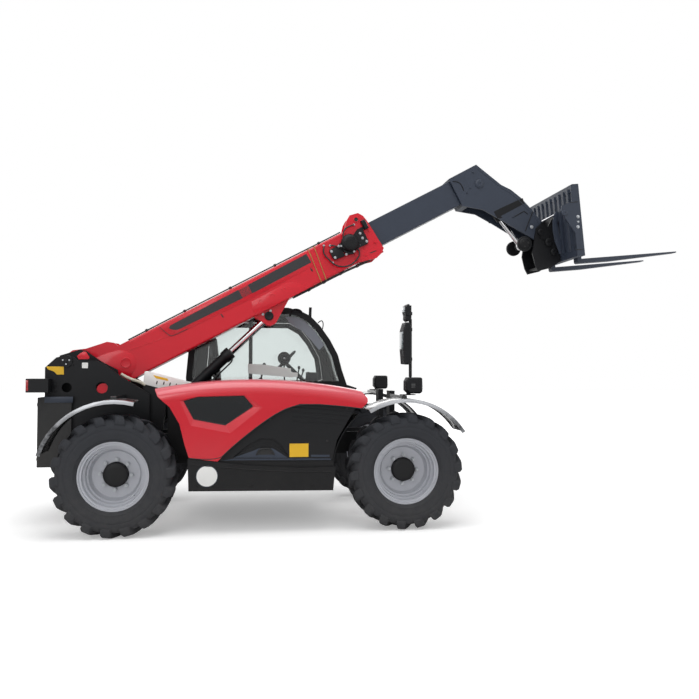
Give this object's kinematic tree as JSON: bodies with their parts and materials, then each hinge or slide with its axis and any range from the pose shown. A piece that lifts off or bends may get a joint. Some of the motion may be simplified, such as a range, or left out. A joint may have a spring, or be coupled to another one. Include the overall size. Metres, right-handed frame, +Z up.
{
  "type": "telehandler",
  "caption": "Four-wheel telescopic handler with a side cab, hinged engine hood, two-stage boom, tilting carriage and pallet forks.",
  "frame": {"origin": "under the middle of the outer box, on the ground", "axes": "+X forward, +Y to the machine's left, +Z up"},
  "size_m": [7.2455, 2.3, 4.0251],
  "materials": {
    "red_paint": "gloss",
    "black_paint": "satin",
    "grey_paint": "satin",
    "rim_paint": "satin",
    "white_paint": "satin",
    "tyre": "matte",
    "black_plastic": "matte",
    "lamp_plastic": "gloss",
    "glass": "clear",
    "dark_glass": "dark",
    "chrome": "polished",
    "iron": "matte",
    "seat_fabric": "woven"
  },
  "bodies": {
    "chassis": {"chassis_frame": "black_paint", "boom_support": "black_paint", "counterweight": "iron", "axle_front": "iron", "axle_rear": "iron", "engine_block": "iron", "side_skirt": "black_paint", "side_panel": "black_plastic", "fuel_tank": "black_plastic", "hydraulic_tank": "white_paint", "lamps": "lamp_plastic", "mirrors": "black_plastic", "cab_frame": "black_paint", "cab_roof": "black_plastic", "cab_glass": "glass", "seat": "seat_fabric", "dashboard": "black_plastic", "mudguards": "black_plastic"},
    "hood": {"engine_hood": "red_paint", "hood_window": "dark_glass"},
    "door": {"cab_door": "black_paint", "cab_door_glass": "glass"},
    "boom": {"boom_outer": "red_paint", "boom_valve_block": "black_plastic"},
    "boom_extension": {"boom_inner": "grey_paint", "gooseneck": "grey_paint"},
    "carriage": {"tool_carrier": "black_paint", "fork_frame": "grey_paint", "forks": "grey_paint"},
    "lift_cylinder_rod": {"lift_rod": "chrome"},
    "lift_cylinder_barrel": {"lift_barrel": "black_paint"},
    "tilt_cylinder_barrel": {"tilt_barrel": "black_paint"},
    "tilt_cylinder_rod": {"tilt_rod": "chrome"},
    "knuckle_rear_right": {"knuckle_rear_right": "iron"},
    "wheel_rear_right": {"tyre_rear_right": "tyre", "rim_rear_right": "rim_paint"},
    "knuckle_rear_left": {"knuckle_rear_left": "iron"},
    "wheel_rear_left": {"tyre_rear_left": "tyre", "rim_rear_left": "rim_paint"},
    "knuckle_front_right": {"knuckle_front_right": "iron"},
    "wheel_front_right": {"tyre_front_right": "tyre", "rim_front_right": "rim_paint"},
    "knuckle_front_left": {"knuckle_front_left": "iron"},
    "wheel_front_left": {"tyre_front_left": "tyre", "rim_front_left": "rim_paint"}
  },
  "joints": [
    {"name": "steer_rear_right", "type": "hinge", "parent": "chassis", "child": "knuckle_rear_right", "pos_m": [-2.664, -0.81, 0.588], "axis": [0, 0, 1], "range_deg": [-33, 33]},
    {"name": "roll_rear_right", "type": "hinge", "parent": "knuckle_rear_right", "child": "wheel_rear_right", "pos_m": [-2.664, -0.945, 0.588], "axis": [0, 1, 0], "continuous": true},
    {"name": "steer_rear_left", "type": "hinge", "parent": "chassis", "child": "knuckle_rear_left", "pos_m": [-2.664, 0.81, 0.588], "axis": [0, 0, 1], "range_deg": [-33, 33]},
    {"name": "roll_rear_left", "type": "hinge", "parent": "knuckle_rear_left", "child": "wheel_rear_left", "pos_m": [-2.664, 0.945, 0.588], "axis": [0, 1, 0], "continuous": true},
    {"name": "steer_front_right", "type": "hinge", "parent": "chassis", "child": "knuckle_front_right", "pos_m": [0.186, -0.81, 0.588], "axis": [0, 0, 1], "range_deg": [-33, 33]},
    {"name": "roll_front_right", "type": "hinge", "parent": "knuckle_front_right", "child": "wheel_front_right", "pos_m": [0.186, -0.945, 0.588], "axis": [0, 1, 0], "continuous": true},
    {"name": "steer_front_left", "type": "hinge", "parent": "chassis", "child": "knuckle_front_left", "pos_m": [0.186, 0.81, 0.588], "axis": [0, 0, 1], "range_deg": [-33, 33]},
    {"name": "roll_front_left", "type": "hinge", "parent": "knuckle_front_left", "child": "wheel_front_left", "pos_m": [0.186, 0.945, 0.588], "axis": [0, 1, 0], "continuous": true},
    {"name": "boom_lift", "type": "hinge", "parent": "chassis", "child": "boom", "pos_m": [-3.264, 0, 1.69], "axis": [0, -1, 0], "range_deg": [-28, 40]},
    {"name": "boom_extend", "type": "slide", "parent": "boom", "child": "boom_extension", "axis": [0.8813, 0, 0.4726], "range_m": [-0.85, 0.95]},
    {"name": "carriage_tilt", "type": "hinge", "parent": "boom_extension", "child": "carriage", "pos_m": [2.076, 0, 3.215], "axis": [0, 1, 0], "range_deg": [-25, 60]},
    {"name": "lift_cylinder_swing", "type": "hinge", "parent": "boom", "child": "lift_cylinder_rod", "pos_m": [-1.16445, 0, 2.20985], "axis": [0, -1, 0], "range_deg": [-3, 3]},
    {"name": "lift_cylinder_stroke", "type": "slide", "parent": "lift_cylinder_rod", "child": "lift_cylinder_barrel", "axis": [-0.7223, 0, -0.6916], "range_m": [-0.5, 0.715]},
    {"name": "tilt_cylinder_swing", "type": "hinge", "parent": "boom_extension", "child": "tilt_cylinder_barrel", "pos_m": [1.286, 0, 3.8], "axis": [0, 1, 0], "range_deg": [-10, 5]},
    {"name": "tilt_cylinder_stroke", "type": "slide", "parent": "tilt_cylinder_barrel", "child": "tilt_cylinder_rod", "axis": [0.6226, 0, -0.7825], "range_m": [-0.22, 0.095]},
    {"name": "hood_lift", "type": "hinge", "parent": "chassis", "child": "hood", "pos_m": [-2.234, -0.42, 1.43], "axis": [-1, 0, 0], "range_deg": [0, 60]},
    {"name": "door_swing", "type": "hinge", "parent": "chassis", "child": "door", "pos_m": [-1.878, 1.112, 1.55], "axis": [0, 0, 1], "range_deg": [0, 85]}
  ],
  "couplings": [
    {"joint": "steer_front_left", "follows": "steer_front_right", "ratio": 1},
    {"joint": "steer_rear_left", "follows": "steer_rear_right", "ratio": 1},
    {"joint": "lift_cylinder_swing", "follows": "boom_lift", "ratio": -0.06},
    {"joint": "lift_cylinder_stroke", "follows": "boom_lift", "m_per_rad": 1.0145},
    {"joint": "tilt_cylinder_swing", "follows": "carriage_tilt", "ratio": -0.16},
    {"joint": "tilt_cylinder_stroke", "follows": "carriage_tilt", "m_per_rad": -0.2063}
  ]
}
